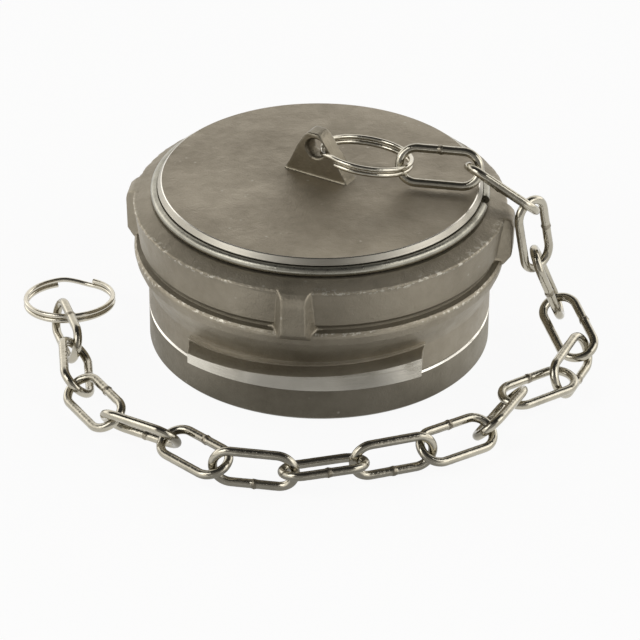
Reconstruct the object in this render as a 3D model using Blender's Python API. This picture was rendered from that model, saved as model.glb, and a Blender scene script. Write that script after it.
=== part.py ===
# Blind plug: a cap body with a turning locking ring, held captive by a chain
import math

import bmesh
import bpy
from mathutils import Matrix, Vector

# All sizes below are millimetres, heights run up from the face that meets the other coupling
MM = 0.001
GAP = 0.3
EDGE = 0.6
TURN_STEPS = 64

# Cap body
WALL_R = 58.3
FLANGE_REACH = 3.7
FLANGE_R = WALL_R + FLANGE_REACH
FLANGE_TOP = 13.1
FLANGE_CHAMFER = 0.8
TOP_Z = 63.0
TOP_BEVEL = 1.4
TOP_EDGE_R = WALL_R - TOP_BEVEL
RIM_Z = 61.0
WALL_THICK = 7.8
CAVITY_R = WALL_R - WALL_THICK
CAVITY_TOP = 57.5
CAVITY_DRAFT = 0.7
CAVITY_FILLET = 3.0
SEAT_WIDTH = 4.7
SEAT_R = CAVITY_R + SEAT_WIDTH
SEAT_DEPTH = 8.0

# Snap ring and its groove in the wall
SNAP_WIRE = 3.4
SNAP_PROUD = 0.8
SNAP_R = WALL_R + SNAP_PROUD
SNAP_Z = 58.9
SNAP_BREAK_DEG = 5.0
SNAP_BREAK_AT = 80.0

# Locking ring
BORE_R = WALL_R + GAP
RING_BOTTOM = FLANGE_TOP + GAP
RING_TOP = SNAP_Z - SNAP_WIRE / 2 - GAP
SKIRT_THICK = 3.4
SKIRT_R = BORE_R + SKIRT_THICK
SKIRT_TOP = 24.0
RIB_REACH = 5.0
RIB_R = SKIRT_R + RIB_REACH
RIB_Z = 36.4
BAND_REACH = 3.1
BAND_R = SKIRT_R + BAND_REACH
BAND_BOTTOM = 40.8
COVE_DEPTH = 0.9
COVE_R = BAND_R - COVE_DEPTH
PARTING_REACH = 1.9
PARTING_R = BAND_R + PARTING_REACH
PARTING_Z = 54.5
TOP_FACE_WIDTH = 2.3
TOP_FACE_R = BORE_R + TOP_FACE_WIDTH

# Four spanner lugs on the locking ring, a quarter turn apart
LUG_COUNT = 4
LUG_TURN = -7.5
LUG_WIDTH = 12.8
LUG_DRAFT = 0.54
LUG_SUNK = 2.1
LUG_SHOULDER = 0.4
LUG_REACH = 4.5
LUG_ROOT_R = BAND_R - LUG_SUNK
LUG_WIDE_R = BAND_R + LUG_SHOULDER
LUG_FACE_R = LUG_WIDE_R + LUG_REACH
LUG_TOP = 55.2
LUG_BOTTOM = 35.6

# Two ramps that draw the other coupling's claws up as the ring turns
RAMP_REACH = 6.2
RAMP_SUNK = 1.1
RAMP_R = SKIRT_R + RAMP_REACH
RAMP_ROOT_R = SKIRT_R - RAMP_SUNK
RAMP_TURN = -5.4
RAMP_HALF_DEG = 37.3
RAMP_ROOT_HALF_DEG = 41.8
RAMP_BOTTOM = 15.7
RAMP_ROOT_BOTTOM = 14.6
RAMP_LOW = 20.1
RAMP_RISE = 3.5
RAMP_SLOPE = 2.0
RAMP_STEPS = 15

# Eye cast on the top, for the chain
EYE_START = (-12.7, 7.6)
EYE_HEADING = -30.4
EYE_LENGTH = 25.4
EYE_HEIGHT = 16.4
EYE_CREST_DROP = 1.0
EYE_SHOULDER = EYE_HEIGHT - EYE_CREST_DROP
EYE_FRONT_LOW = (2.2, 4.0)
EYE_FRONT_HIGH = (5.0, 10.6)
EYE_CREST = (7.9, 9.4, 13.4, 15.0)
EYE_BACK = (20.3, 8.2)
EYE_SUNK = 1.0
EYE_THICK = 6.5
EYE_EDGE = 0.7
EYE_HOLE_R = 3.5
EYE_HOLE_EASE = 1.7
EYE_HOLE_STEPS = 24
EYE_HOLE_ALONG = 12.6
EYE_HOLE_DROP = 5.4
EYE_HOLE_UP = EYE_HEIGHT - EYE_HOLE_DROP
EYE_FOOT = 1.9

# Split rings of double wire, one at each end of the chain
SPLIT_WIRE = 1.8
SPLIT_R = 16.0
SPLIT_STEPS = 40
SPLIT_STEP_DEG = 22.0
SPLIT_END_DEG = 3.0

# Welded long-link chain
LINK_WIRE = 3.2
LINK_LENGTH = 32.0
LINK_WIDTH = 15.6
LINK_BEND_STEPS = 7
WIRE_SIDES = 8

# Where each link meets the next: over the edge, down to the ground and round the front to the left
CHAIN_MEETS = [
    (30, -4, 71), (54.5, -8, 71), (74.5, -12, 58.5), (78.5, -9, 34.5), (86, -7, 15.5), (94, -28.5, 8.5),
    (86, -46.5, 8), (69, -58, 8), (58, -79.5, 8), (37.5, -93, 8.5), (14, -101, 8.5), (-10, -107.5, 8.5),
    (-33.5, -103, 8), (-51, -86, 7.5), (-72, -74, 7.5), (-85, -53, 7.5), (-87.5, -28.5, 8), (-95, -4.5, 8),
]
# How far each link leans over about its own length, degrees from lying flat
CHAIN_LEANS = [65, -30, -42, 12, 20, -65, -5, 48, -30, -90, 15, -90, -20, 52, -30, 45, -75]

EYE_RING_CENTER = (16.5, 0, 72)
EYE_RING_NORMAL = (0.15, 0.15, 1)
EYE_RING_STEP = 200.0
END_RING_CENTER = (-92, 8.5, 6)
END_RING_NORMAL = (-0.03, 0.1, 1)
END_RING_STEP = 85.0


def clear_scene():
    for old in list(bpy.data.objects):
        bpy.data.objects.remove(old, do_unlink=True)


def finish(name, color, metallic, roughness):
    """A Principled material of its own for one sub-part"""
    material = bpy.data.materials.new(name + "_finish")
    material.use_nodes = True
    shader = material.node_tree.nodes["Principled BSDF"]
    shader.inputs["Base Color"].default_value = (*color, 1.0)
    shader.inputs["Metallic"].default_value = metallic
    shader.inputs["Roughness"].default_value = roughness
    return material


def add_object(name, mesh_data, material=None):
    bmesh.ops.recalc_face_normals(mesh_data, faces=mesh_data.faces)
    mesh = bpy.data.meshes.new(name)
    mesh_data.to_mesh(mesh)
    mesh_data.free()
    made = bpy.data.objects.new(name, mesh)
    bpy.context.collection.objects.link(made)
    if material is not None:
        mesh.materials.append(material)
    return made


def add_tool(name, mesh_data):
    """A shape that is only joined to or cut from another"""
    tool = add_object(name, mesh_data)
    tool.hide_render = True
    tool.display_type = "WIRE"
    return tool


def combine(target, tool, operation):
    step = target.modifiers.new(tool.name, "BOOLEAN")
    step.object = tool
    step.operation = operation
    step.solver = "EXACT"


def polar(radius, degrees, height):
    """Degrees run from the front, -Y, towards +X"""
    angle = math.radians(degrees)
    return Vector((radius * math.sin(angle), -radius * math.cos(angle), height)) * MM


def arc(center_r, center_z, radius, start_deg, end_deg, steps):
    """Points of a round stretch of a profile, as (radius from the axis, height)"""
    points = []
    for index in range(steps + 1):
        angle = math.radians(start_deg + (end_deg - start_deg) * index / steps)
        points.append((center_r + radius * math.cos(angle), center_z + radius * math.sin(angle)))
    return points


def turned(profile):
    """Turn a profile about +Z. It starts and ends on the axis, or else it closes on itself"""
    made = bmesh.new()
    on_axis = profile[0][0] == 0.0
    body = profile[1:-1] if on_axis else profile
    rings = []
    for radius, height in body:
        ring = []
        for step in range(TURN_STEPS):
            ring.append(made.verts.new(polar(radius, 360.0 * step / TURN_STEPS, height)))
        rings.append(ring)
    pairs = list(zip(rings, rings[1:]))
    if not on_axis:
        pairs.append((rings[-1], rings[0]))
    for first, second in pairs:
        for step in range(TURN_STEPS):
            after = (step + 1) % TURN_STEPS
            made.faces.new((first[step], first[after], second[after], second[step]))
    if on_axis:
        for ring, height in ((rings[0], profile[0][1]), (rings[-1], profile[-1][1])):
            pole = made.verts.new((0.0, 0.0, height * MM))
            for step in range(TURN_STEPS):
                made.faces.new((ring[step], ring[(step + 1) % TURN_STEPS], pole))
    return made


def skin(made, sections, closed):
    """Join like sections, each a loop of points, into one closed body"""
    loops = []
    for section in sections:
        loops.append([made.verts.new(point) for point in section])
    count = len(loops[0])
    pairs = list(zip(loops, loops[1:]))
    if closed:
        pairs.append((loops[-1], loops[0]))
    for first, second in pairs:
        for index in range(count):
            after = (index + 1) % count
            made.faces.new((first[index], first[after], second[after], second[index]))
    if not closed:
        made.faces.new(loops[0])
        made.faces.new(loops[-1])


def wire(stations, thickness, closed, place=Matrix.Identity(4)):
    """Round wire along stations of (center, side, up)"""
    made = bmesh.new()
    sections = []
    for center, side, up in stations:
        section = []
        for index in range(WIRE_SIDES):
            angle = 2.0 * math.pi * (index + 0.5) / WIRE_SIDES
            offset = side * math.cos(angle) + up * math.sin(angle)
            section.append(place @ ((center + offset * thickness / 2) * MM))
        sections.append(section)
    skin(made, sections, closed)
    return made


# Cap body: a thick cap with a flange round its mouth, one casting with the eye on its top
def body_profile():
    groove_r = SNAP_WIRE / 2 + GAP
    spread = math.degrees(math.acos((WALL_R - SNAP_R) / groove_r))
    groove = arc(SNAP_R, SNAP_Z, groove_r, spread, 360.0 - spread, 6)
    fillet_r = CAVITY_R - CAVITY_DRAFT - CAVITY_FILLET
    inside = arc(fillet_r, CAVITY_TOP - CAVITY_FILLET, CAVITY_FILLET, 0.0, 90.0, 3)
    outside = [
        (0.0, TOP_Z),
        (TOP_EDGE_R, TOP_Z),
        (WALL_R, RIM_Z),
        *groove,
        (WALL_R, FLANGE_TOP),
        (FLANGE_R - EDGE, FLANGE_TOP),
        (FLANGE_R, FLANGE_TOP - EDGE),
        (FLANGE_R, FLANGE_CHAMFER),
        (FLANGE_R - FLANGE_CHAMFER, 0.0),
    ]
    mouth = [
        (SEAT_R, 0.0),
        (SEAT_R, SEAT_DEPTH),
        (CAVITY_R, SEAT_DEPTH),
        *inside,
        (0.0, CAVITY_TOP),
    ]
    return outside + mouth


def eye_frame():
    """Origin at the foot's front left corner, +X along the plate and +Y through it to the back"""
    turn = Matrix.Rotation(math.radians(EYE_HEADING), 4, "Z")
    return Matrix.Translation(Vector((*EYE_START, TOP_Z)) * MM) @ turn


def eye_plate():
    made = bmesh.new()
    outline = [
        (0.0, -EYE_SUNK),
        (0.0, 0.0),
        EYE_FRONT_LOW,
        EYE_FRONT_HIGH,
        (EYE_CREST[0], EYE_SHOULDER),
        (EYE_CREST[1], EYE_HEIGHT),
        (EYE_CREST[2], EYE_HEIGHT),
        (EYE_CREST[3], EYE_SHOULDER),
        EYE_BACK,
        (EYE_LENGTH, 0.0),
        (EYE_LENGTH, -EYE_SUNK),
    ]
    middle = (EYE_LENGTH / 2, EYE_HEIGHT / 2)
    sections = []
    deep = EYE_THICK - EYE_EDGE
    for through, inset in ((0.0, EYE_EDGE), (EYE_EDGE, 0.0), (deep, 0.0), (EYE_THICK, EYE_EDGE)):
        section = []
        for along, up in outline:
            share = 1.0 - inset / middle[1]
            moved = (middle[0] + (along - middle[0]) * share, middle[1] + (up - middle[1]) * share)
            rise = up if up <= 0.0 else moved[1]
            section.append(eye_frame() @ (Vector((moved[0], through, rise)) * MM))
        sections.append(section)
    skin(made, sections, closed=False)
    return made


def eye_foot():
    """The fillet where the eye meets the top"""
    made = bmesh.new()
    sections = []
    for height, spread in ((-1.0, EYE_FOOT), (0.1, EYE_FOOT), (0.7, 0.8), (1.9, 0.1)):
        lean = max(height, 0.0) * 0.55
        low_x = lean - spread
        high_x = EYE_LENGTH - lean + spread
        low_y = 0.1 - spread
        high_y = EYE_THICK - 0.1 + spread
        corners = ((low_x, low_y), (high_x, low_y), (high_x, high_y), (low_x, high_y))
        sections.append([eye_frame() @ (Vector((x, y, height)) * MM) for x, y in corners])
    skin(made, sections, closed=False)
    return made


def eye_hole():
    """A drilled hole, eased where it leaves each face"""
    made = bmesh.new()
    sections = []
    wide = EYE_HOLE_R + EYE_HOLE_EASE
    deep = EYE_THICK - EYE_EDGE
    for through, radius in ((-1.0, wide), (EYE_EDGE, EYE_HOLE_R), (deep, EYE_HOLE_R), (EYE_THICK + 1.0, wide)):
        section = []
        for index in range(EYE_HOLE_STEPS):
            angle = 2.0 * math.pi * index / EYE_HOLE_STEPS
            along = EYE_HOLE_ALONG + radius * math.cos(angle)
            up = EYE_HOLE_UP + radius * math.sin(angle)
            section.append(eye_frame() @ (Vector((along, through, up)) * MM))
        sections.append(section)
    skin(made, sections, closed=False)
    return made


def build_body():
    body = add_object("plug_body", turned(body_profile()), finish("cast_body", (0.25, 0.23, 0.19), 0.7, 0.55))
    combine(body, add_tool("eye_foot_shape", eye_foot()), "UNION")
    combine(body, add_tool("eye_plate_shape", eye_plate()), "UNION")
    combine(body, add_tool("eye_hole_shape", eye_hole()), "DIFFERENCE")


# Locking ring: turns on the wall between the flange and the snap ring
def ring_profile():
    """Down the outer side from the top face, then up the bore"""
    return [
        (BORE_R + EDGE, RING_TOP),
        (TOP_FACE_R, RING_TOP),
        (PARTING_R, PARTING_Z),
        (BAND_R, BAND_BOTTOM),
        (COVE_R, BAND_BOTTOM - 1.2),
        (COVE_R, RIB_Z + 2.3),
        (RIB_R - 0.8, RIB_Z + 1.8),
        (RIB_R - 0.1, RIB_Z + 1.0),
        (RIB_R, RIB_Z),
        (RIB_R - 0.6, RIB_Z - 2.8),
        (RIB_R - 2.0, RIB_Z - 6.0),
        (SKIRT_R + 1.4, SKIRT_TOP + 3.4),
        (SKIRT_R, SKIRT_TOP),
        (SKIRT_R, RING_BOTTOM + EDGE),
        (SKIRT_R - EDGE, RING_BOTTOM),
        (BORE_R + EDGE, RING_BOTTOM),
        (BORE_R, RING_BOTTOM + EDGE),
        (BORE_R, RING_TOP - EDGE),
    ]


def spanner_lug(made, degrees):
    """A drafted lug, narrower at its face, that a hook spanner pushes on"""
    outline = [
        (LUG_ROOT_R, LUG_TOP + 0.4),
        (LUG_WIDE_R, LUG_TOP),
        (LUG_FACE_R - 2.4, LUG_TOP - 0.6),
        (LUG_FACE_R - 0.6, LUG_TOP - 2.0),
        (LUG_FACE_R, LUG_TOP - 4.4),
        (LUG_FACE_R - 0.4, LUG_BOTTOM + 3.3),
        (LUG_FACE_R - 2.8, LUG_BOTTOM + 0.6),
        (LUG_ROOT_R, LUG_BOTTOM),
    ]
    turn = Matrix.Rotation(math.radians(degrees), 4, "Z")
    sections = []
    for side in (-1.0, 1.0):
        section = []
        for radius, height in outline:
            half = LUG_WIDTH / 2 - (radius - LUG_WIDE_R) * LUG_DRAFT
            section.append(turn @ (Vector((side * half, -radius, height)) * MM))
        sections.append(section)
    skin(made, sections, closed=False)


def claw_ramp(made, degrees):
    """A raised ramp with a machined face: its top climbs as it goes round"""
    sections = []
    for step in range(RAMP_STEPS):
        share = step / (RAMP_STEPS - 1)
        outer = degrees + RAMP_HALF_DEG * (2.0 * share - 1.0)
        inner = degrees + RAMP_ROOT_HALF_DEG * (2.0 * share - 1.0)
        top = RAMP_LOW + RAMP_RISE * share
        sections.append((
            polar(RAMP_ROOT_R, inner, RAMP_ROOT_BOTTOM),
            polar(RAMP_R, outer, RAMP_BOTTOM),
            polar(RAMP_R, outer, top),
            polar(RAMP_ROOT_R, inner, top + RAMP_SLOPE),
        ))
    skin(made, sections, closed=False)


def build_ring():
    ring = add_object("locking_ring", turned(ring_profile()), finish("cast_ring", (0.23, 0.21, 0.17), 0.7, 0.55))
    lugs = bmesh.new()
    for index in range(LUG_COUNT):
        spanner_lug(lugs, LUG_TURN + 360.0 * index / LUG_COUNT)
    for turn in (0.0, 180.0):
        claw_ramp(lugs, RAMP_TURN + turn)
    combine(ring, add_tool("ring_lug_shapes", lugs), "UNION")


# Snap ring: round wire sprung into the groove, with a small break
def build_snap_ring():
    stations = []
    steps = TURN_STEPS - 4
    for step in range(steps + 1):
        degrees = SNAP_BREAK_AT + SNAP_BREAK_DEG / 2 + (360.0 - SNAP_BREAK_DEG) * step / steps
        angle = math.radians(degrees)
        side = Vector((math.sin(angle), -math.cos(angle), 0.0))
        stations.append((side * SNAP_R + Vector((0.0, 0.0, SNAP_Z)), side, Vector((0.0, 0.0, 1.0))))
    made = wire(stations, SNAP_WIRE, closed=False)
    add_object("snap_ring", made, finish("spring_wire", (0.60, 0.58, 0.55), 1.0, 0.28))


# Face gasket: sits in the mouth just short of the face
def build_gasket():
    outer = SEAT_R - GAP
    inner = CAVITY_R + 0.2
    profile = [
        (inner + 1.0, SEAT_DEPTH - GAP),
        (outer, SEAT_DEPTH - GAP),
        (outer, 0.9),
        (outer - 0.8, GAP),
        (inner + 0.6, GAP),
        (inner, 1.2),
        (inner, SEAT_DEPTH - 1.4),
    ]
    add_object("face_gasket", turned(profile), finish("gasket_rubber", (0.03, 0.03, 0.03), 0.0, 0.7))


# Split rings: two coils of one wire, which steps from one coil to the other
def split_ring(center, normal, step_heading):
    stations = []
    lift = (SPLIT_WIRE + 0.12) / 2
    first = SPLIT_STEP_DEG + SPLIT_END_DEG
    last = 720.0 - first
    steps = 2 * SPLIT_STEPS
    for step in range(steps + 1):
        degrees = first + (last - first) * step / steps
        share = min(max((degrees - 360.0 + SPLIT_STEP_DEG) / (2.0 * SPLIT_STEP_DEG), 0.0), 1.0)
        height = lift * (2.0 * share * share * (3.0 - 2.0 * share) - 1.0)
        angle = math.radians(degrees + step_heading)
        side = Vector((math.cos(angle), math.sin(angle), 0.0))
        stations.append((side * SPLIT_R + Vector((0.0, 0.0, height)), side, Vector((0.0, 0.0, 1.0))))
    tilt = Vector((0.0, 0.0, 1.0)).rotation_difference(Vector(normal)).to_matrix().to_4x4()
    place = Matrix.Translation(Vector(center) * MM) @ tilt
    return wire(stations, SPLIT_WIRE, closed=False, place=place)


def build_split_rings():
    near = split_ring(EYE_RING_CENTER, EYE_RING_NORMAL, EYE_RING_STEP)
    add_object("eye_split_ring", near, finish("eye_ring_steel", (0.62, 0.60, 0.56), 1.0, 0.2))
    far = split_ring(END_RING_CENTER, END_RING_NORMAL, END_RING_STEP)
    add_object("end_split_ring", far, finish("end_ring_steel", (0.62, 0.60, 0.56), 1.0, 0.2))


# Chain: each link spans from one meeting point to the next
def link_stations():
    """The middle of the wire round one link that lies along X with its hole towards Z"""
    bend = (LINK_WIDTH - LINK_WIRE) / 2
    reach = (LINK_LENGTH - LINK_WIDTH) / 2
    up = Vector((0.0, 0.0, 1.0))
    stations = []
    for end in (1.0, -1.0):
        for step in range(LINK_BEND_STEPS + 1):
            angle = math.pi * (0.5 - step / LINK_BEND_STEPS)
            side = Vector((math.cos(angle), math.sin(angle), 0.0)) * end
            stations.append((Vector((reach * end, 0.0, 0.0)) + side * bend, side, up))
    return stations


def link_place(start, end, lean):
    along = (end - start).normalized()
    rise = Vector((0.0, 0.0, 1.0)) if abs(along.z) < 0.95 else Vector((0.0, 1.0, 0.0))
    flat = (rise - along * rise.dot(along)).normalized()
    level = along.cross(flat)
    angle = math.radians(lean)
    normal = flat * math.cos(angle) + level * math.sin(angle)
    across = normal.cross(along)
    turn = Matrix((along, across, normal)).transposed().to_4x4()
    return Matrix.Translation((start + end) / 2 * MM) @ turn


def build_chain():
    meets = [Vector(point) for point in CHAIN_MEETS]
    stations = link_stations()
    for index, lean in enumerate(CHAIN_LEANS):
        place = link_place(meets[index], meets[index + 1], lean)
        name = "chain_link_%02d" % (index + 1)
        shade = finish("link_%02d_steel" % (index + 1), (0.60, 0.58, 0.54), 1.0, 0.18)
        add_object(name, wire(stations, LINK_WIRE, closed=True, place=place), shade)


clear_scene()
build_body()
build_ring()
build_snap_ring()
build_gasket()
build_split_rings()
build_chain()
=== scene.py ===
# Looks of the blind plug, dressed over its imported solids
import math

import bmesh
import bpy
import numpy as np
from mathutils import Matrix, Vector, noise


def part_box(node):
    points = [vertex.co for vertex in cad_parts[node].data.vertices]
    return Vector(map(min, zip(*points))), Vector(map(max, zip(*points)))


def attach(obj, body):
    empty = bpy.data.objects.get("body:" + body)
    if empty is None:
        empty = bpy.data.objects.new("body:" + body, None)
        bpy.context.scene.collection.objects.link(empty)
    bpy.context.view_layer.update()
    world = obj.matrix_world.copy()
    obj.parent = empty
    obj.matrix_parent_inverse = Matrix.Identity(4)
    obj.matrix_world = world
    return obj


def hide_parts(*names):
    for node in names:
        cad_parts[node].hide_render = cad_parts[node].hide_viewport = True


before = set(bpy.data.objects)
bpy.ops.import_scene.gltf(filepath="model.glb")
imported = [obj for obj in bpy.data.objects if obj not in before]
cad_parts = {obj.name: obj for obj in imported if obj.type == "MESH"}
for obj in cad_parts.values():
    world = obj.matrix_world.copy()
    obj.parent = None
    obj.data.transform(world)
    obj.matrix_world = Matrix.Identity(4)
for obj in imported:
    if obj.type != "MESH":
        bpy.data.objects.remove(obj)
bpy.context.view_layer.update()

# Sizes are millimetres, as in the part
MM = 0.001
GAP = 0.3

# Cap body
FLANGE_R = 62.0
FLANGE_TOP = 13.1
FLANGE_CHAMFER = 0.8
WALL_R = 58.3
TOP_Z = 63.0
TOP_EDGE_R = 56.9
RIM_Z = 61.0
CAVITY_R = 50.5
CAVITY_TOP = 57.5
CAVITY_DRAFT = 0.7
CAVITY_MIDDLE_R = 20.0
SEAT_R = 55.2
SEAT_DEPTH = 8.0
BODY_STEPS = 288
GASKET_STEPS = 192
BODY_UNEVEN_SCALE = 45.0
BODY_UNEVEN = 0.05

# Snap ring
SNAP_WIRE = 3.4
SNAP_R = 59.1
SNAP_Z = 58.9
SNAP_BREAK_DEG = 5.0
SNAP_BREAK_AT = 80.0
SNAP_STEPS = 300
SNAP_SIDES = 20

# Locking ring
BORE_R = 58.6
RING_BOTTOM = 13.4
RING_TOP = 56.9
SKIRT_R = 62.0
SKIRT_TOP = 24.0
RIB_R = 67.0
RIB_Z = 36.4
BAND_R = 65.1
BAND_BOTTOM = 40.8
COVE_R = 64.2
PARTING_R = 67.0
PARTING_Z = 54.5
TOP_FACE_R = 60.9
RING_EDGE = 0.6
RING_STEPS = 360
RING_UNEVEN_SCALE = 60.0
RING_UNEVEN = 0.06

# Rows of the ring's outer side that lie in the cove under the band; they take the dark cast colour as
# painted shade
COVE_SHADE_ROWS = (4, 5, 6)

# Parting lines with casting flash, as (height, half the width)
FLASH_LINES = ((PARTING_Z, 1.0), (RIB_Z + 1.4, 0.8))

# Their coarse and fine lumps, as (features in a metre, rise)
FLASH_LUMPS = ((420.0, 0.26), (1200.0, 0.24))

# How far a patch of skin round the eye or a lug lies under the skin that it joins
SKIN_SUNK = 0.16

# Spanner lugs
LUG_COUNT = 4
LUG_TURN = -7.5
LUG_WIDTH = 12.8
LUG_DRAFT = 0.54
LUG_ROOT_R = 63.0
LUG_WIDE_R = 65.5
LUG_FACE_R = 70.0
LUG_TOP = 55.2
LUG_BOTTOM = 35.6
LUG_SECTOR_DEG = 18.0
LUG_SECTOR_STEPS = 24
LUG_VOXEL = 0.42
LUG_MELTS = 7

# Ramps
RAMP_COUNT = 2
RAMP_R = 68.2
RAMP_ROOT_R = 60.9
RAMP_TURN = -5.4
RAMP_HALF_DEG = 37.3
RAMP_ROOT_HALF_DEG = 41.8
RAMP_BOTTOM = 15.7
RAMP_ROOT_BOTTOM = 14.6
RAMP_LOW = 20.1
RAMP_RISE = 3.5
RAMP_SLOPE = 2.0
RAMP_EDGE = 0.3
RAMP_STEPS = 72

# Cast eye: its outline runs (along, up) from the front foot over the top to the back foot
EYE_START = (-12.7, 7.6)
EYE_HEADING = -30.4
EYE_LENGTH = 25.4
EYE_HEIGHT = 16.4
EYE_THICK = 6.5
EYE_HOLE_ALONG = 12.6
EYE_HOLE_UP = 11.0
EYE_HOLE_R = 3.5
EYE_HOLE_STEPS = 48
EYE_SUNK = 1.6
EYE_OUTLINE = (
    (-0.6, -EYE_SUNK), (-0.3, 0.0), (2.0, 4.0), (4.9, 10.6), (7.8, 15.4), (9.4, EYE_HEIGHT + 0.4),
    (13.4, EYE_HEIGHT + 0.4), (15.2, 15.4), (20.4, 8.2), (EYE_LENGTH + 0.3, 0.0),
    (EYE_LENGTH + 0.6, -EYE_SUNK),
)
EYE_APRON = 5.0
EYE_VOXEL = 0.36
EYE_MELTS = 9

# Split rings and chain
SPLIT_WIRE = 1.8
SPLIT_R = 16.0
SPLIT_COIL_GAP = 0.12
SPLIT_STEPS = 360
SPLIT_SIDES = 16
SPLIT_STEP_DEG = 22.0
SPLIT_END_DEG = 3.0
EYE_RING_STEP = 200.0
END_RING_STEP = 85.0
LINK_WIRE = 3.2
LINK_LENGTH = 32.0
LINK_WIDTH = 15.6
LINK_COUNT = 17
LINK_BEND_STEPS = 24
LINK_SIDE_STEPS = 48
LINK_SIDES = 18
WIRE_UNEVEN = 0.03
WELD_WIDTH = 0.7
WELD_RISE = 0.22
WELD_UNEVEN = 0.3

# Camera of the photograph: focal length in pixels of a 640 pixel frame
FOCAL_PX = 3431.35
FRAME_PX = 640.0
SENSOR_MM = 36.0
CAMERA_ELEVATION = 31.472
CAMERA_DISTANCE = 1258.1
CAMERA_ROLL = 0.480
CAMERA_AIM = (0.3, 0.0, 3.3)

# How bright the paper looks in the metal: dim in front of the plug, lit at its sides
FLOOR_WHITE = 0.92
FLOOR_DIM_X = 42.0
FLOOR_LIT_X = 62.0
FLOOR_DIM = 0.42
FLOOR_LIT = 1.05
FLOOR_HALF = 6.0
FLOOR_Z = -0.0004

# Studio, each row as (from, to, value at from, value at to) of one part of the looking direction
SIDE_ROOT = (0.02, 0.12, 0.25, 1.0)
SIDE_TOP = (0.45, 0.70, 1.0, 0.0)
SIDE_GLOW = (0.45, 0.80, 0.0, 1.5)
WALL_TOP = (0.50, 0.88, 1.0, 0.05)
BACK_GLOW = (0.20, 0.80, 0.0, 1.3)
FRONT_GLOW = (-0.80, -0.30, 0.28, 0.0)
ROOM_GLOW = 0.05
LAMP_AIM = (0.0, 0.0, 0.03)
LAMP_SIZE = 0.7

# Steps and share of a side that one rounded corner may take
CORNER_STEPS = 5
CORNER_SHARE = 0.45

# Surface patterns, as features in a metre
BLOTCHES = 22.0
SPECKLES = 420.0
PITS = 230.0
PIT_PATCHES = 60.0
SHINE_PATCHES = 150.0
FLASH_WANDER = 70.0
FLASH_SPARKS = 620.0
FLASH_RUNS = 34.0
GRAIN = 1300.0
DENTS = 300.0
LATHE_RINGS = 5200.0
STAINS = 70.0
WIRE_BLOTCHES = 160.0
WIRE_SHINE_PATCHES = 500.0
DIE_MARKS = 900.0
RUBBER_BLOTCHES = 120.0
RUBBER_SHINE_PATCHES = 400.0
RUBBER_GRAIN = 1500.0

# Colours of pits, of flash and of rubbed edges, the last also a painted edge highlight
PIT_COLOR = (0.52, 0.49, 0.42)
FLASH_COLOR = (0.60, 0.57, 0.49)
RUBBED_AND_HIGHLIGHT_COLOR = (0.60, 0.57, 0.50)


# Shader helpers
def set_range(node, low, high, to_low, to_high):
    node.inputs["From Min"].default_value = low
    node.inputs["From Max"].default_value = high
    node.inputs["To Min"].default_value = to_low
    node.inputs["To Max"].default_value = to_high


class Look:
    """One Principled material and short ways to add nodes to it"""

    def __init__(self, name, color, metallic, roughness):
        self.material = bpy.data.materials.new(name)
        self.material.use_nodes = True
        self.tree = self.material.node_tree
        self.shader = self.tree.nodes["Principled BSDF"]
        self.shader.inputs["Base Color"].default_value = (*color, 1.0)
        self.shader.inputs["Metallic"].default_value = metallic
        self.shader.inputs["Roughness"].default_value = roughness
        self.place = self.add("ShaderNodeTexCoord").outputs["Object"]

    def add(self, kind, **settings):
        node = self.tree.nodes.new(kind)
        for key, value in settings.items():
            setattr(node, key, value)
        return node

    def put(self, value, socket):
        if isinstance(value, bpy.types.NodeSocket):
            self.tree.links.new(value, socket)
        else:
            socket.default_value = value

    def math(self, operation, first, second=0.0):
        node = self.add("ShaderNodeMath", operation=operation)
        for socket, value in zip(node.inputs, (first, second)):
            self.put(value, socket)
        return node.outputs[0]

    def noise(self, scale, detail=3.0, rough=0.5, vector=None):
        node = self.add("ShaderNodeTexNoise")
        self.put(self.place if vector is None else vector, node.inputs["Vector"])
        node.inputs["Scale"].default_value = scale
        node.inputs["Detail"].default_value = detail
        node.inputs["Roughness"].default_value = rough
        return node.outputs["Fac"]

    def cells(self, scale):
        node = self.add("ShaderNodeTexVoronoi")
        self.put(self.place, node.inputs["Vector"])
        node.inputs["Scale"].default_value = scale
        return node.outputs["Distance"]

    def fit(self, value, low, high, to_low, to_high):
        node = self.add("ShaderNodeMapRange", clamp=True)
        set_range(node, low, high, to_low, to_high)
        self.put(value, node.inputs["Value"])
        return node.outputs["Result"]

    def mix(self, share, first, second):
        node = self.add("ShaderNodeMix", data_type="RGBA")
        self.put(share, node.inputs[0])
        for socket, value in ((node.inputs[6], first), (node.inputs[7], second)):
            self.put(value if isinstance(value, bpy.types.NodeSocket) else (*value, 1.0), socket)
        return node.outputs[2]

    def axes(self):
        node = self.add("ShaderNodeSeparateXYZ")
        self.put(self.place, node.inputs[0])
        return node.outputs

    def joined(self, x, y, z):
        node = self.add("ShaderNodeCombineXYZ")
        for socket, value in zip(node.inputs, (x, y, z)):
            self.put(value, socket)
        return node.outputs[0]

    def radius(self):
        x, y, _ = self.axes()
        squares = [self.math("MULTIPLY", axis, axis) for axis in (x, y)]
        return self.math("SQRT", self.math("ADD", *squares))

    def bump(self, height, distance, under=None):
        node = self.add("ShaderNodeBump")
        node.inputs["Strength"].default_value = 1.0
        node.inputs["Distance"].default_value = distance
        self.put(height, node.inputs["Height"])
        if under is not None:
            self.put(under, node.inputs["Normal"])
        return node.outputs["Normal"]

    def wear(self, color=None, roughness=None, normal=None):
        for name, value in (("Base Color", color), ("Roughness", roughness), ("Normal", normal)):
            if value is not None:
                self.put(value, self.shader.inputs[name])
        return self.material


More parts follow.
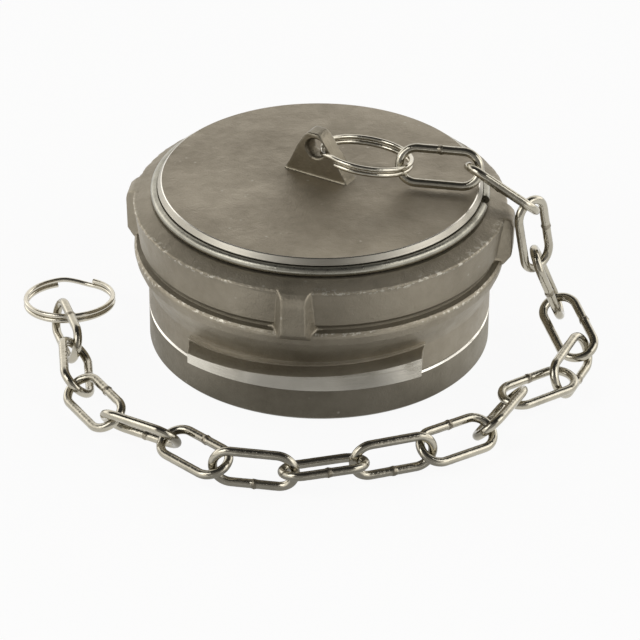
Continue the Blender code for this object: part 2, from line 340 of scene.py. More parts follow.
def cast_look(name, color, roughness, flash=(), rub_and_highlight=0.0):
    """As-cast stainless: blotches, grain, a few pits, specks along parting lines, and rubbed edges lightened
    as painted edge highlights
    """
    look = Look(name, color, 0.9, roughness)
    light = tuple(min(value * 1.22, 1.0) for value in color)
    dark = (color[0] * 0.80, color[1] * 0.785, color[2] * 0.75)
    cloud = look.noise(BLOTCHES, 4.0, 0.6)
    speckle = look.noise(SPECKLES, 3.0, 0.6)
    tone = look.mix(look.fit(cloud, 0.34, 0.68, 0.0, 1.0), dark, light)
    tone = look.mix(look.fit(speckle, 0.35, 0.7, 0.0, 0.22), tone, light)
    pits = look.fit(look.cells(PITS), 0.0, 0.16, 1.0, 0.0)
    rare = look.math("MULTIPLY", pits, look.fit(look.noise(PIT_PATCHES, 2.0), 0.56, 0.62, 0.0, 1.0))
    tone = look.mix(look.math("MULTIPLY", rare, 0.7), tone, PIT_COLOR)
    shine = look.fit(look.noise(SHINE_PATCHES, 4.0, 0.6), 0.3, 0.7, roughness - 0.06, roughness + 0.08)
    if flash:
        height = look.axes()[2]
        wander = look.fit(look.noise(FLASH_WANDER, 3.0), 0.3, 0.7, -0.0008, 0.0008)
        sparks = look.fit(look.noise(FLASH_SPARKS, 2.0, 0.7), 0.52, 0.60, 0.0, 1.0)
        runs = look.fit(look.noise(FLASH_RUNS, 2.0), 0.42, 0.58, 0.15, 1.0)
        wavy = look.math("ADD", height, wander)
        for level, width in flash:
            away = look.math("ABSOLUTE", look.math("SUBTRACT", wavy, level * MM))
            near = look.fit(away, 0.0, width * MM, 1.0, 0.0)
            spot = look.math("MULTIPLY", look.math("MULTIPLY", near, sparks), runs)
            tone = look.mix(spot, tone, FLASH_COLOR)
            shine = look.math("SUBTRACT", shine, look.math("MULTIPLY", spot, 0.13))
    # Sharp edges get a lighter, glossier colour: partly wear, partly a painted highlight
    if rub_and_highlight:
        point = look.add("ShaderNodeNewGeometry").outputs["Pointiness"]
        patches = look.fit(cloud, 0.35, 0.6, 0.3, 1.0)
        rubbed_and_highlit = look.math("MULTIPLY", look.fit(point, 0.54, 0.64, 0.0, rub_and_highlight), patches)
        tone = look.mix(rubbed_and_highlit, tone, RUBBED_AND_HIGHLIGHT_COLOR)
        shine = look.math("SUBTRACT", shine, look.math("MULTIPLY", rubbed_and_highlit, 0.15))
    grain = look.bump(look.noise(GRAIN, 3.0, 0.65), 0.00012)
    dents = look.bump(look.noise(DENTS, 3.0, 0.6), 0.00022, under=grain)
    return look.wear(tone, shine, dents)


def machined_look(name, color, roughness):
    """A lathe-turned face: fine rings round the axis and a few faint stains"""
    look = Look(name, color, 1.0, roughness)
    along = look.joined(look.radius(), look.axes()[2], 0.0)
    rings = look.noise(LATHE_RINGS, 2.0, 0.6, along)
    stain = look.noise(STAINS, 3.0)
    dark = tuple(value * 0.84 for value in color)
    tone = look.mix(look.fit(stain, 0.35, 0.7, 0.0, 1.0), dark, color)
    shine = look.fit(rings, 0.3, 0.7, roughness - 0.05, roughness + 0.07)
    return look.wear(tone, shine, look.bump(rings, 0.00003))


def wire_look(name, color, roughness, grime):
    """Polished drawn wire with dull spots and faint die marks"""
    look = Look(name, color, 1.0, roughness)
    cloud = look.noise(WIRE_BLOTCHES, 3.0, 0.6)
    dark = tuple(value * 0.5 for value in color)
    tone = look.mix(look.fit(cloud, 0.4, 0.75, 0.0, grime), color, dark)
    shine = look.fit(look.noise(WIRE_SHINE_PATCHES, 3.0, 0.6), 0.3, 0.75, roughness - 0.04, roughness + 0.10)
    return look.wear(tone, shine, look.bump(look.noise(DIE_MARKS, 2.0, 0.5), 0.00006))


def rubber_look(name):
    look = Look(name, (0.022, 0.022, 0.023), 0.0, 0.62)
    cloud = look.fit(look.noise(RUBBER_BLOTCHES), 0.4, 0.7, 0.0, 1.0)
    tone = look.mix(cloud, (0.018, 0.018, 0.019), (0.035, 0.034, 0.033))
    shine = look.fit(look.noise(RUBBER_SHINE_PATCHES), 0.3, 0.7, 0.55, 0.72)
    return look.wear(tone, shine, look.bump(look.noise(RUBBER_GRAIN, 3.0), 0.00008))


# Mesh helpers
def add_piece(name, made, looks, body, nodes, sharp_deg=32.0):
    bmesh.ops.recalc_face_normals(made, faces=made.faces)
    mesh = bpy.data.meshes.new(name)
    made.to_mesh(mesh)
    made.free()
    for look in looks:
        mesh.materials.append(look)
    mesh.shade_smooth()
    mesh.set_sharp_from_angle(angle=math.radians(sharp_deg))
    piece = bpy.data.objects.new(name, mesh)
    bpy.context.collection.objects.link(piece)
    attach(piece, body)
    if nodes:
        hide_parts(*nodes)
    return piece


def polar(radius, degrees, height):
    """Degrees run from the front, -Y, towards +X"""
    angle = math.radians(degrees)
    return Vector((radius * math.sin(angle), -radius * math.cos(angle), height)) * MM


def rounded(corners, closed):
    """Round a profile of (radius, height, corner radius, slot) with short arcs"""
    count = len(corners)
    points = []
    for index, (x, y, corner, slot_index) in enumerate(corners):
        here = Vector((x, y))
        if corner <= 0.0 or (not closed and index in (0, count - 1)):
            points.append((x, y, slot_index))
            continue
        before = Vector(corners[index - 1][:2])
        after = Vector(corners[(index + 1) % count][:2])
        back = (before - here).normalized()
        ahead = (after - here).normalized()
        half = back.angle(ahead) / 2.0
        room = min((before - here).length, (after - here).length) * CORNER_SHARE
        reach = min(corner / math.tan(half), room)
        start = here + back * reach
        end = here + ahead * reach
        for step in range(CORNER_STEPS + 1):
            share = step / CORNER_STEPS
            first = start.lerp(here, share)
            second = here.lerp(end, share)
            point = first.lerp(second, share)
            points.append((point.x, point.y, slot_index))
    return points


def turned(profile, steps, ripple=None, start_deg=0.0, sweep_deg=360.0):
    """Turn a profile of (radius, height, slot). A slot belongs to the stretch that starts there"""
    made = bmesh.new()
    whole = sweep_deg >= 360.0
    columns = steps if whole else steps + 1
    rings = []
    for radius, height, _ in profile:
        ring = []
        if radius == 0.0:
            pole = made.verts.new((0.0, 0.0, height * MM))
            ring = [pole] * columns
        else:
            for step in range(columns):
                degrees = start_deg + sweep_deg * step / steps
                grown = radius + (ripple(radius, height, degrees) if ripple else 0.0)
                ring.append(made.verts.new(polar(grown, degrees, height)))
        rings.append(ring)
    on_axis = profile[0][0] == 0.0
    pairs = list(range(len(profile) - 1))
    if not on_axis:
        pairs.append(len(profile) - 1)
    for index in pairs:
        first = rings[index]
        second = rings[(index + 1) % len(rings)]
        for step in range(steps):
            after = (step + 1) % columns
            loop = [first[step], first[after], second[after], second[step]]
            loop = list(dict.fromkeys(loop))
            face = made.faces.new(loop)
            face.material_index = profile[index][2]
    if not whole:
        made.faces.new([ring[0] for ring in rings])
        made.faces.new([ring[-1] for ring in rings])
    return made


def skin(made, sections, closed, marked=()):
    """Join sections of as many points each. The marked stretches take the second material"""
    loops = []
    for section in sections:
        loops.append([made.verts.new(point) for point in section])
    count = len(loops[0])
    pairs = list(zip(loops, loops[1:]))
    if closed:
        pairs.append((loops[-1], loops[0]))
    for number, (first, second) in enumerate(pairs):
        for index in range(count):
            after = (index + 1) % count
            face = made.faces.new((first[index], first[after], second[after], second[index]))
            face.material_index = 1 if number in marked else 0
    if not closed:
        for loop in (loops[0], loops[-1]):
            made.faces.new(loop)


def wire(stations, thickness, closed, sides, place=Matrix.Identity(4), swell=None, marked=()):
    """Round wire along stations of (center, side, up)"""
    made = bmesh.new()
    sections = []
    for number, (center, side, up) in enumerate(stations):
        section = []
        for index in range(sides):
            angle = 2.0 * math.pi * index / sides
            reach = thickness / 2
            if swell:
                reach += swell(number, angle)
            offset = side * math.cos(angle) + up * math.sin(angle)
            section.append(place @ ((center + offset * reach) * MM))
        sections.append(section)
    skin(made, sections, closed, marked=marked)
    return made


def soft_cast(name, made, voxel, passes):
    """Melt joined shapes into one cast skin with fillets where they meet"""
    bmesh.ops.recalc_face_normals(made, faces=made.faces)
    mesh = bpy.data.meshes.new(name + "_raw")
    made.to_mesh(mesh)
    made.free()
    raw = bpy.data.objects.new(name + "_raw", mesh)
    bpy.context.collection.objects.link(raw)
    remesh = raw.modifiers.new("remesh", "REMESH")
    remesh.mode = "VOXEL"
    remesh.voxel_size = voxel * MM
    smooth = raw.modifiers.new("smooth", "SMOOTH")
    smooth.factor = 0.5
    smooth.iterations = passes
    bpy.context.view_layer.update()
    ready = raw.evaluated_get(bpy.context.evaluated_depsgraph_get())
    melted = bmesh.new()
    melted.from_mesh(ready.to_mesh())
    bpy.data.objects.remove(raw, do_unlink=True)
    return melted


def lie_of(node):
    """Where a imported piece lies: its middle and its own axes, the longest first"""
    points = np.array([vertex.co[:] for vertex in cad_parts[node].data.vertices])
    middle = points.mean(axis=0)
    _, axes = np.linalg.eigh(np.cov((points - middle).T))
    return Vector(middle), [Vector(axes[:, index]) for index in (2, 1, 0)]


# Cap body
def body_ripple(radius, height, degrees):
    return BODY_UNEVEN * noise.noise(polar(radius, degrees, height) * BODY_UNEVEN_SCALE)


def body_profile():
    cast, bright, dark, highlight_edge = 0, 1, 2, 3
    groove = SNAP_WIRE / 2 + GAP
    return rounded([
        (0.0, TOP_Z, 0.0, cast),
        (TOP_EDGE_R * 0.5, TOP_Z, 0.0, cast),
        # The top's edge and the flange's top edge take a light turned colour as painted highlight lines
        (TOP_EDGE_R - 0.15, TOP_Z, 0.1, highlight_edge),
        (TOP_EDGE_R + 0.2, TOP_Z - 0.25, 0.1, bright),
        (WALL_R, RIM_Z, 0.2, bright),
        (WALL_R, SNAP_Z + groove - 0.2, 0.1, bright),
        (WALL_R - groove + 0.6, SNAP_Z + groove - 0.6, 0.4, bright),
        (WALL_R - groove + 0.6, SNAP_Z - groove + 0.6, 0.4, bright),
        (WALL_R, SNAP_Z - groove + 0.2, 0.1, bright),
        (WALL_R, FLANGE_TOP, 0.2, bright),
        (FLANGE_R - 0.6, FLANGE_TOP, 0.1, highlight_edge),
        # The flange's outer side takes the darker cast copy: painted shade down by the floor
        (FLANGE_R, FLANGE_TOP - 0.6, 0.1, dark),
        (FLANGE_R, FLANGE_CHAMFER, 0.3, bright),
        (FLANGE_R - FLANGE_CHAMFER, 0.0, 0.2, bright),
        (SEAT_R, 0.0, 0.2, bright),
        (SEAT_R, SEAT_DEPTH, 0.2, bright),
        (CAVITY_R, SEAT_DEPTH, 0.5, cast),
        (CAVITY_R - CAVITY_DRAFT, CAVITY_TOP, 3.2, cast),
        (CAVITY_MIDDLE_R, CAVITY_TOP, 0.0, cast),
        (0.0, CAVITY_TOP, 0.0, cast),
    ], closed=False)


def eye_frame():
    turn = Matrix.Rotation(math.radians(EYE_HEADING), 4, "Z")
    return Matrix.Translation(Vector((*EYE_START, TOP_Z)) * MM) @ turn


def eye_points(points):
    return [eye_frame() @ (Vector(point) * MM) for point in points]


def eye_shape():
    """The eye with its foot and a sunk apron of the top under it, and the shape of its drilled hole"""
    made = bmesh.new()
    sections = []
    for through in (-0.1, EYE_THICK + 0.1):
        sections.append(eye_points((along, through, up) for along, up in EYE_OUTLINE))
    skin(made, sections, closed=False)
    apron = []
    near = -EYE_APRON
    far = EYE_LENGTH + EYE_APRON
    deep = EYE_THICK + EYE_APRON
    for height in (-EYE_SUNK, -SKIN_SUNK):
        corners = ((near, near), (far, near), (far, deep), (near, deep))
        apron.append(eye_points((x, y, height) for x, y in corners))
    skin(made, apron, closed=False)
    melted = soft_cast("eye", made, EYE_VOXEL, EYE_MELTS)
    hole = bmesh.new()
    sections = []
    flare = ((-2.0, 2.9), (0.5, 0.2), (1.6, 0.0))
    stations = list(flare) + [(EYE_THICK - depth, wider) for depth, wider in reversed(flare)]
    for through, wider in stations:
        section = []
        for index in range(EYE_HOLE_STEPS):
            angle = 2.0 * math.pi * index / EYE_HOLE_STEPS
            along = EYE_HOLE_ALONG + (EYE_HOLE_R + wider) * math.cos(angle)
            up = EYE_HOLE_UP + (EYE_HOLE_R + wider) * math.sin(angle)
            section.append((along, through, up))
        sections.append(eye_points(section))
    skin(hole, sections, closed=False)
    return melted, hole


def cut(made, tool):
    """Take the tool's shape out of a body"""
    pair = []
    for name, source in (("cut_body", made), ("cut_tool", tool)):
        bmesh.ops.recalc_face_normals(source, faces=source.faces)
        mesh = bpy.data.meshes.new(name)
        source.to_mesh(mesh)
        source.free()
        item = bpy.data.objects.new(name, mesh)
        bpy.context.collection.objects.link(item)
        pair.append(item)
    step = pair[0].modifiers.new("cut", "BOOLEAN")
    step.operation = "DIFFERENCE"
    step.solver = "EXACT"
    step.object = pair[1]
    bpy.context.view_layer.update()
    ready = pair[0].evaluated_get(bpy.context.evaluated_depsgraph_get())
    result = bmesh.new()
    result.from_mesh(ready.to_mesh())
    for item in pair:
        bpy.data.objects.remove(item, do_unlink=True)
    return result


def dress_body(cast, bright, dark, highlight_edge, eye_skin):
    made = turned(body_profile(), BODY_STEPS, body_ripple)
    add_piece("cap_body", made, [cast, bright, dark, highlight_edge], "plug", ["plug_body"])
    eye, hole = eye_shape()
    add_piece("cast_eye", cut(eye, hole), [eye_skin], "plug", [], 50.0)


# Locking ring
def ring_outside(sunk):
    """The ring's outer side from its top to its bottom, as (radius, height, corner radius)"""
    return [
        (TOP_FACE_R, RING_TOP - sunk, 1.2),
        (PARTING_R - 0.5 - sunk, PARTING_Z + 0.5, 0.5),
        (PARTING_R + 0.1 - sunk, PARTING_Z, 0.2),
        (PARTING_R - 0.3 - sunk, PARTING_Z - 1.2, 0.6),
        (BAND_R - sunk, BAND_BOTTOM, 0.5),
        (COVE_R - sunk, BAND_BOTTOM - 1.2, 0.4),
        (COVE_R - sunk, RIB_Z + 2.3, 0.3),
        (RIB_R - 0.8 - sunk, RIB_Z + 1.8, 0.3),
        (RIB_R - 0.1 - sunk, RIB_Z + 1.0, 0.3),
        (RIB_R - sunk, RIB_Z, 0.6),
        (RIB_R - 0.6 - sunk, RIB_Z - 2.8, 2.0),
        (RIB_R - 2.0 - sunk, RIB_Z - 6.0, 2.0),
        (SKIRT_R + 1.4 - sunk, SKIRT_TOP + 3.4, 2.0),
        (SKIRT_R - sunk, SKIRT_TOP, 1.5),
        (SKIRT_R - sunk, RING_BOTTOM + 0.5, 0.3),
        (SKIRT_R - 0.5 - sunk, RING_BOTTOM, 0.1),
    ]


def flash_ripple(radius, height, degrees):
    """Uneven casting skin, roughest on the two parting lines"""
    spot = polar(radius, degrees, height)
    depth = RING_UNEVEN * noise.noise(spot * RING_UNEVEN_SCALE)
    lumps = sum(rise * noise.noise(spot * scale) for scale, rise in FLASH_LUMPS)
    for level, width in FLASH_LINES:
        near = max(0.0, 1.0 - abs(height - level) / width)
        depth += near * lumps
    return depth


def ring_profile():
    cast, bright, dark = 0, 1, 2
    corners = [(BORE_R + RING_EDGE, RING_TOP, 0.2, cast)]
    for number, (radius, height, corner) in enumerate(ring_outside(0.0)):
        # The cove rows take the dark cast colour: painted shade in the recess under the band
        corners.append((radius, height, corner, dark if number in COVE_SHADE_ROWS else cast))
    corners += [
        (BORE_R + RING_EDGE, RING_BOTTOM, 0.1, bright),
        (BORE_R, RING_BOTTOM + RING_EDGE, 0.1, bright),
        (BORE_R, RING_TOP - RING_EDGE, 0.1, bright),
    ]
    return rounded(corners, closed=True)


def lug_shape(degrees):
    """A drafted lug on a sunk sector of the ring, melted together"""
    made = bmesh.new()
    outline = [
        (LUG_ROOT_R - 1.0, LUG_TOP + 0.5),
        (LUG_WIDE_R, LUG_TOP + 0.2),
        (LUG_FACE_R - 2.2, LUG_TOP - 0.5),
        (LUG_FACE_R - 0.4, LUG_TOP - 1.9),
        (LUG_FACE_R + 0.2, LUG_TOP - 4.4),
        (LUG_FACE_R - 0.2, LUG_BOTTOM + 3.3),
        (LUG_FACE_R - 2.6, LUG_BOTTOM + 0.5),
        (LUG_ROOT_R - 1.0, LUG_BOTTOM - 0.2),
    ]
    turn = Matrix.Rotation(math.radians(degrees), 4, "Z")
    sections = []
    for side in (-1.0, 1.0):
        section = []
        for radius, height in outline:
            half = (LUG_WIDTH + 0.3) / 2 - (radius - LUG_WIDE_R) * LUG_DRAFT
            section.append(turn @ (Vector((side * half, -radius, height)) * MM))
        sections.append(section)
    skin(made, sections, closed=False)
    inner = LUG_ROOT_R - 1.6
    sector = [(inner, RING_TOP - 0.9, 0.0, 0)]
    sector += [(radius, height, corner, 0) for radius, height, corner in ring_outside(SKIN_SUNK)[1:12]]
    sector.append((inner, RIB_Z - 6.0, 0.0, 0))
    start = degrees - LUG_SECTOR_DEG / 2
    slab = turned(rounded(sector, closed=True), LUG_SECTOR_STEPS, None, start, LUG_SECTOR_DEG)
    joined = bpy.data.meshes.new("slab")
    slab.to_mesh(joined)
    slab.free()
    made.from_mesh(joined)
    bpy.data.meshes.remove(joined)
    return soft_cast("lug", made, LUG_VOXEL, LUG_MELTS)


def ramp_shape(degrees):
    """The ramp: machined outside and cast on top, climbing as it goes round. Its top and underside take the
    dark cast colour as painted shade
    """
    made = bmesh.new()
    rows = []
    for step in range(RAMP_STEPS + 1):
        share = step / RAMP_STEPS
        outer = degrees + RAMP_HALF_DEG * (2.0 * share - 1.0)
        inner = degrees + RAMP_ROOT_HALF_DEG * (2.0 * share - 1.0)
        top = RAMP_LOW + RAMP_RISE * share
        row = [
            polar(RAMP_ROOT_R, inner, RAMP_ROOT_BOTTOM),
            polar(RAMP_R - RAMP_EDGE, outer, RAMP_BOTTOM),
            polar(RAMP_R, outer, RAMP_BOTTOM + RAMP_EDGE),
            polar(RAMP_R, outer, top - RAMP_EDGE),
            polar(RAMP_R - 0.35, outer, top),
            polar(RAMP_R - 3.0, (outer * 0.6 + inner * 0.4), top + 0.5),
            polar(SKIRT_R + 1.3, (outer * 0.15 + inner * 0.85), top + 1.0),
            polar(SKIRT_R + 1.25, inner, top + 1.6),
            polar(RAMP_ROOT_R, inner, top + RAMP_SLOPE + 0.6),
        ]
        rows.append([made.verts.new(point) for point in row])
    # The ramp's underside and top take the dark cast colour as painted shade
    bright, dark, worn_and_highlit = 1, 2, 3
    # The lip at the ramp's root takes the lugs' lighter cast colour: a painted highlight line
    slots = [dark, bright, bright, dark, dark, dark, worn_and_highlit, worn_and_highlit, dark]
    for first, second in zip(rows, rows[1:]):
        for index, slot_index in enumerate(slots):
            after = (index + 1) % len(slots)
            face = made.faces.new((first[index], first[after], second[after], second[index]))
            face.material_index = slot_index
    made.faces.new(rows[0])
    made.faces.new(rows[-1])
    return made


def dress_ring(cast, bright, dark, worn_and_highlit):
    made = turned(ring_profile(), RING_STEPS, flash_ripple)
    add_piece("lock_ring", made, [cast, bright, dark], "ring", ["locking_ring"])
    for index in range(LUG_COUNT):
        lug = lug_shape(LUG_TURN + 360.0 / LUG_COUNT * index)
        add_piece("ring_lug_%d" % (index + 1), lug, [worn_and_highlit], "ring", [], 60.0)
    looks = [cast, bright, dark, worn_and_highlit]
    for index in range(RAMP_COUNT):
        ramp = ramp_shape(RAMP_TURN + 360.0 / RAMP_COUNT * index)
        add_piece("ring_ramp_%d" % (index + 1), ramp, looks, "ring", [], 35.0)


# Snap ring, gasket and split rings
def dress_snap_ring(look):
    stations = []
    for step in range(SNAP_STEPS + 1):
        degrees = SNAP_BREAK_AT + SNAP_BREAK_DEG / 2 + (360.0 - SNAP_BREAK_DEG) * step / SNAP_STEPS
        angle = math.radians(degrees)
        side = Vector((math.sin(angle), -math.cos(angle), 0.0))
        stations.append((side * SNAP_R + Vector((0.0, 0.0, SNAP_Z)), side, Vector((0.0, 0.0, 1.0))))
    made = wire(stations, SNAP_WIRE, False, SNAP_SIDES)
    add_piece("snap_wire", made, [look], "plug", ["snap_ring"], 50.0)


def dress_gasket(look):
    outer = SEAT_R - GAP
    inner = CAVITY_R + 0.2
    top = SEAT_DEPTH - GAP
    profile = rounded([
        (inner + 1.0, top, 0.3, 0),
        (outer, top, 0.3, 0),
        (outer, 0.9, 0.3, 0),
        (outer - 0.8, 0.3, 0.3, 0),
        (inner + 0.6, 0.3, 0.3, 0),
        (inner, 1.2, 0.3, 0),
        (inner, top - 1.1, 0.3, 0),
    ], closed=True)
    add_piece("gasket", turned(profile, GASKET_STEPS), [look], "plug", ["face_gasket"], 50.0)


def dress_split_ring(name, node, body, step_heading, look):
    """Two coils of wire with the step between them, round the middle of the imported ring's box"""
    _, axes = lie_of(node)
    normal = axes[2]
    if normal.z < 0.0:
        normal = -normal
    lift = (SPLIT_WIRE + SPLIT_COIL_GAP) / 2
    first = SPLIT_STEP_DEG + SPLIT_END_DEG
    last = 720.0 - first
    stations = []
    for step in range(SPLIT_STEPS + 1):
        degrees = first + (last - first) * step / SPLIT_STEPS
        share = min(max((degrees - 360.0 + SPLIT_STEP_DEG) / (2.0 * SPLIT_STEP_DEG), 0.0), 1.0)
        height = lift * (2.0 * share * share * (3.0 - 2.0 * share) - 1.0)
        angle = math.radians(degrees + step_heading)
        side = Vector((math.cos(angle), math.sin(angle), 0.0))
        stations.append((side * SPLIT_R + Vector((0.0, 0.0, height)), side, Vector((0.0, 0.0, 1.0))))
    tilt = Vector((0.0, 0.0, 1.0)).rotation_difference(normal).to_matrix().to_4x4()
    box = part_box(node)
    center = Vector([(low + high) / 2 for low, high in zip(*box)])
    place = Matrix.Translation(center) @ tilt
    made = wire(stations, SPLIT_WIRE, False, SPLIT_SIDES, place)
    add_piece(name, made, [look], body, [node], 50.0)


# Chain links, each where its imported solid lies
def link_stations():
    bend = (LINK_WIDTH - LINK_WIRE) / 2
    reach = (LINK_LENGTH - LINK_WIDTH) / 2
    up = Vector((0.0, 0.0, 1.0))
    stations = []
    for end in (1.0, -1.0):
        for step in range(LINK_BEND_STEPS + 1):
            angle = math.pi * (0.5 - step / LINK_BEND_STEPS)
            side = Vector((math.cos(angle), math.sin(angle), 0.0)) * end
            stations.append((Vector((reach * end, 0.0, 0.0)) + side * bend, side, up))
        for step in range(1, LINK_SIDE_STEPS):
            along = reach * end * (1.0 - 2.0 * step / LINK_SIDE_STEPS)
            side = Vector((0.0, -end, 0.0))
            stations.append((Vector((along, -end * bend, 0.0)), side, up))
    return stations


def weld_swell(stations, seed, weld_end):
    """A small upset bead where the link's wire was butt welded"""
    def swell(number, angle):
        center = stations[number][0]
        grown = WIRE_UNEVEN * noise.noise(Vector((number * 0.35, angle, seed * 7.3)))
        if center.y * weld_end > 0.0:
            away = abs(center.x) / WELD_WIDTH
            bead = math.exp(-away * away)
            lumps = noise.noise(Vector((angle * 1.7, seed * 3.1, number * 0.7)))
            grown += bead * (WELD_RISE + WELD_UNEVEN * lumps)
        return grown
    return swell


def dress_chain(look, weld):
    stations = link_stations()
    for index in range(1, LINK_COUNT + 1):
        node = "chain_link_%02d" % index
        middle, axes = lie_of(node)
        along, across, normal = axes
        if along.cross(across).dot(normal) < 0.0:
            normal = -normal
        turn = Matrix((along, across, normal)).transposed().to_4x4()
        place = Matrix.Translation(middle) @ turn
        upward = index % 2 == 1
        weld_end = 1.0 if (across.z > 0.0) == upward else -1.0
        marked = []
        for number, (center, _, _) in enumerate(stations):
            if center.y * weld_end > 0.0 and abs(center.x) < WELD_WIDTH * 1.1:
                marked.append(number)
        swell = weld_swell(stations, index, weld_end)
        made = wire(stations, LINK_WIRE, True, LINK_SIDES, place, swell, marked)
        add_piece("link_%02d" % index, made, [look, weld], "plug", [node], 60.0)


# Floor, light and camera
def build_floor():
    """White paper that keeps a faint shadow, and that the metal sees as dim in front and lit at the sides"""
    made = bmesh.new()
    near, far = -FLOOR_HALF, FLOOR_HALF
    corners = ((near, near), (far, near), (far, far), (near, far))
    made.faces.new([made.verts.new((x, y, FLOOR_Z)) for x, y in corners])
    mesh = bpy.data.meshes.new("floor")
    made.to_mesh(mesh)
    made.free()
    floor = bpy.data.objects.new("floor", mesh)
    bpy.context.collection.objects.link(floor)
    look = Look("floor_paint", (0.86, 0.86, 0.855), 0.0, 0.9)
    out = look.tree.nodes["Material Output"]
    glow = look.add("ShaderNodeEmission")
    glow.inputs["Color"].default_value = (1.0, 1.0, 1.0, 1.0)
    path = look.add("ShaderNodeLightPath")
    seen = look.math("MAXIMUM", path.outputs["Is Camera Ray"], path.outputs["Is Transmission Ray"])
    mirrored = path.outputs["Is Glossy Ray"]
    across = look.math("ABSOLUTE", look.axes()[0])
    sides = look.fit(across, FLOOR_DIM_X * MM, FLOOR_LIT_X * MM, FLOOR_DIM, FLOOR_LIT)
    look.put(look.math("MAXIMUM", look.math("MULTIPLY", mirrored, sides), seen), glow.inputs["Strength"])
    blend = look.add("ShaderNodeMixShader")
    look.put(look.math("MAXIMUM", look.math("MULTIPLY", seen, FLOOR_WHITE), mirrored), blend.inputs[0])
    look.put(look.shader.outputs[0], blend.inputs[1])
    look.put(glow.outputs[0], blend.inputs[2])
    look.put(blend.outputs[0], out.inputs["Surface"])
    mesh.materials.append(look.material)


def build_world():
    """A studio: bright low down at the sides and the back, dark above and behind the camera"""
    world = bpy.data.worlds.new("studio")
    bpy.context.scene.world = world
    world.use_nodes = True
    tree = world.node_tree
    room = tree.nodes["Background"]
    out = tree.nodes["World Output"]
    place = tree.nodes.new("ShaderNodeTexCoord")
    split = tree.nodes.new("ShaderNodeSeparateXYZ")
    tree.links.new(place.outputs["Generated"], split.inputs[0])

    def combine(operation, first, second):
        node = tree.nodes.new("ShaderNodeMath")
        node.operation = operation
        for socket, value in zip(node.inputs, (first, second)):
            if isinstance(value, bpy.types.NodeSocket):
                tree.links.new(value, socket)
            else:
                socket.default_value = value
        return node.outputs[0]

    def ease(value, low, high, to_low, to_high):
        node = tree.nodes.new("ShaderNodeMapRange")
        node.interpolation_type = "SMOOTHSTEP"
        tree.links.new(value, node.inputs["Value"])
        set_range(node, low, high, to_low, to_high)
        return node.outputs["Result"]

    x, y, z = split.outputs
    box = combine("MULTIPLY", ease(z, *SIDE_ROOT), ease(z, *SIDE_TOP))
    side = combine("MULTIPLY", ease(combine("ABSOLUTE", x, 0.0), *SIDE_GLOW), box)
    low = ease(z, *WALL_TOP)
    back = combine("MULTIPLY", ease(y, *BACK_GLOW), low)
    front = combine("MULTIPLY", ease(y, *FRONT_GLOW), low)
    total = combine("ADD", combine("ADD", side, combine("ADD", back, front)), ROOM_GLOW)
    tree.links.new(total, room.inputs["Strength"])
    room.inputs["Color"].default_value = (1.0, 0.985, 0.96, 1.0)
    white = tree.nodes.new("ShaderNodeBackground")
    white.inputs["Strength"].default_value = 1.0
    path = tree.nodes.new("ShaderNodeLightPath")
    blend = tree.nodes.new("ShaderNodeMixShader")
    tree.links.new(path.outputs["Is Camera Ray"], blend.inputs[0])
    tree.links.new(room.outputs[0], blend.inputs[1])
    tree.links.new(white.outputs[0], blend.inputs[2])
    tree.links.new(blend.outputs[0], out.inputs["Surface"])


def add_lamp(name, place, power):
    light = bpy.data.lights.new(name, "AREA")
    light.shape = "RECTANGLE"
    light.size = LAMP_SIZE
    light.size_y = LAMP_SIZE
    light.energy = power
    lamp = bpy.data.objects.new(name, light)
    lamp.location = place
    lamp.rotation_euler = (Vector(LAMP_AIM) - Vector(place)).to_track_quat("-Z", "Y").to_euler()
    bpy.context.collection.objects.link(lamp)


def build_camera():
    tilt = math.radians(CAMERA_ELEVATION)
    back = Vector((0.0, -math.cos(tilt), math.sin(tilt)))
    up = Vector((0.0, math.sin(tilt), math.cos(tilt)))
    right = Vector((1.0, 0.0, 0.0))
    turn = Matrix((right, up, back)).transposed().to_4x4()
    roll = Matrix.Rotation(math.radians(CAMERA_ROLL), 4, "Z")
    data = bpy.data.cameras.new("camera")
    data.sensor_width = SENSOR_MM
    data.lens = FOCAL_PX / FRAME_PX * SENSOR_MM
    data.clip_end = 50.0
    camera = bpy.data.objects.new("camera", data)
    place = (Vector(CAMERA_AIM) + back * CAMERA_DISTANCE) * MM
    camera.matrix_world = Matrix.Translation(place) @ turn @ roll
    bpy.context.collection.objects.link(camera)
    bpy.context.scene.camera = camera


build_camera()
build_floor()
build_world()
add_lamp("key_left", (-0.9, -0.5, 0.9), 4.0)
add_lamp("fill_right", (0.9, -0.3, 0.8), 2.8)

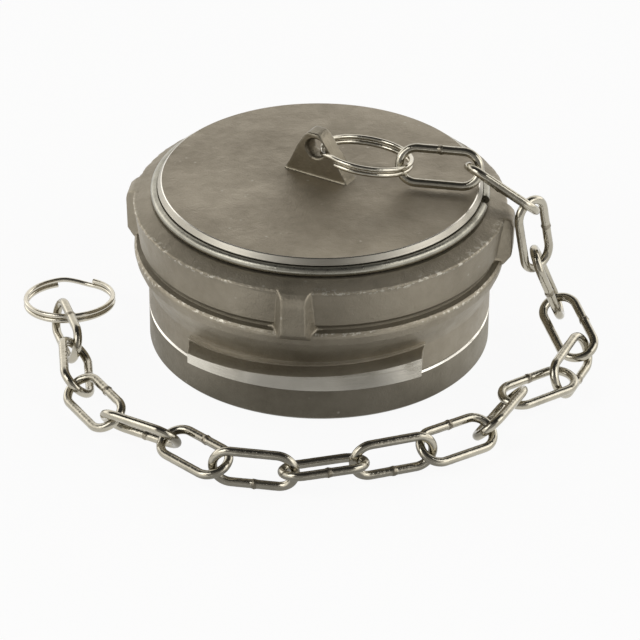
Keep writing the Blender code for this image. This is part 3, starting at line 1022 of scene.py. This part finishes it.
body_cast = cast_look("cast_body_look", (0.31, 0.275, 0.215), 0.50)
# A darker copy of the body's cast colour for the flange: painted shade
flange_cast_shaded = cast_look("cast_flange_shaded_look", (0.225, 0.205, 0.163), 0.58)
# The eye takes a darker copy of the body's cast colour as painted shade; its rubbed edges are partly wear,
# partly painted highlights
eye_cast_shaded = cast_look("cast_eye_shaded_look", (0.215, 0.192, 0.147), 0.36, rub_and_highlight=0.5)
# The ring's and the lugs' sharp edges are lightened: partly wear, partly painted highlights
ring_cast = cast_look("cast_ring_look", (0.29, 0.26, 0.205), 0.50, FLASH_LINES, 0.28)
lug_cast = cast_look("cast_lug_look", (0.29, 0.26, 0.205), 0.46, rub_and_highlight=0.8)
# A much darker copy of the cast colour for the ramps and the cove: painted shade
ramp_cast_shaded = cast_look("cast_ramp_shaded_look", (0.19, 0.17, 0.13), 0.55)
turned_face = machined_look("turned_face_look", (0.44, 0.415, 0.355), 0.42)
# A much lighter copy of the turned colour for edges: painted highlight
turned_edge_highlight = machined_look("turned_edge_highlight_look", (0.78, 0.75, 0.68), 0.22)
ramp_face = machined_look("ramp_face_look", (0.68, 0.645, 0.56), 0.17)
spring = wire_look("spring_look", (0.36, 0.345, 0.29), 0.28, 0.5)
ring_steel = wire_look("split_ring_look", (0.54, 0.505, 0.42), 0.12, 0.35)
chain_steel = wire_look("chain_look", (0.44, 0.41, 0.335), 0.13, 0.45)
chain_weld = wire_look("chain_weld_look", (0.30, 0.27, 0.21), 0.30, 0.7)
dress_body(body_cast, turned_face, flange_cast_shaded, turned_edge_highlight, eye_cast_shaded)
dress_ring(ring_cast, ramp_face, ramp_cast_shaded, lug_cast)
dress_snap_ring(spring)
dress_gasket(rubber_look("gasket_look"))
dress_split_ring("eye_ring", "eye_split_ring", "plug", EYE_RING_STEP, ring_steel)
dress_split_ring("end_ring_wire", "end_split_ring", "end_ring", END_RING_STEP, ring_steel)
dress_chain(chain_steel, chain_weld)

bpy.context.scene.view_settings.view_transform = "Standard"
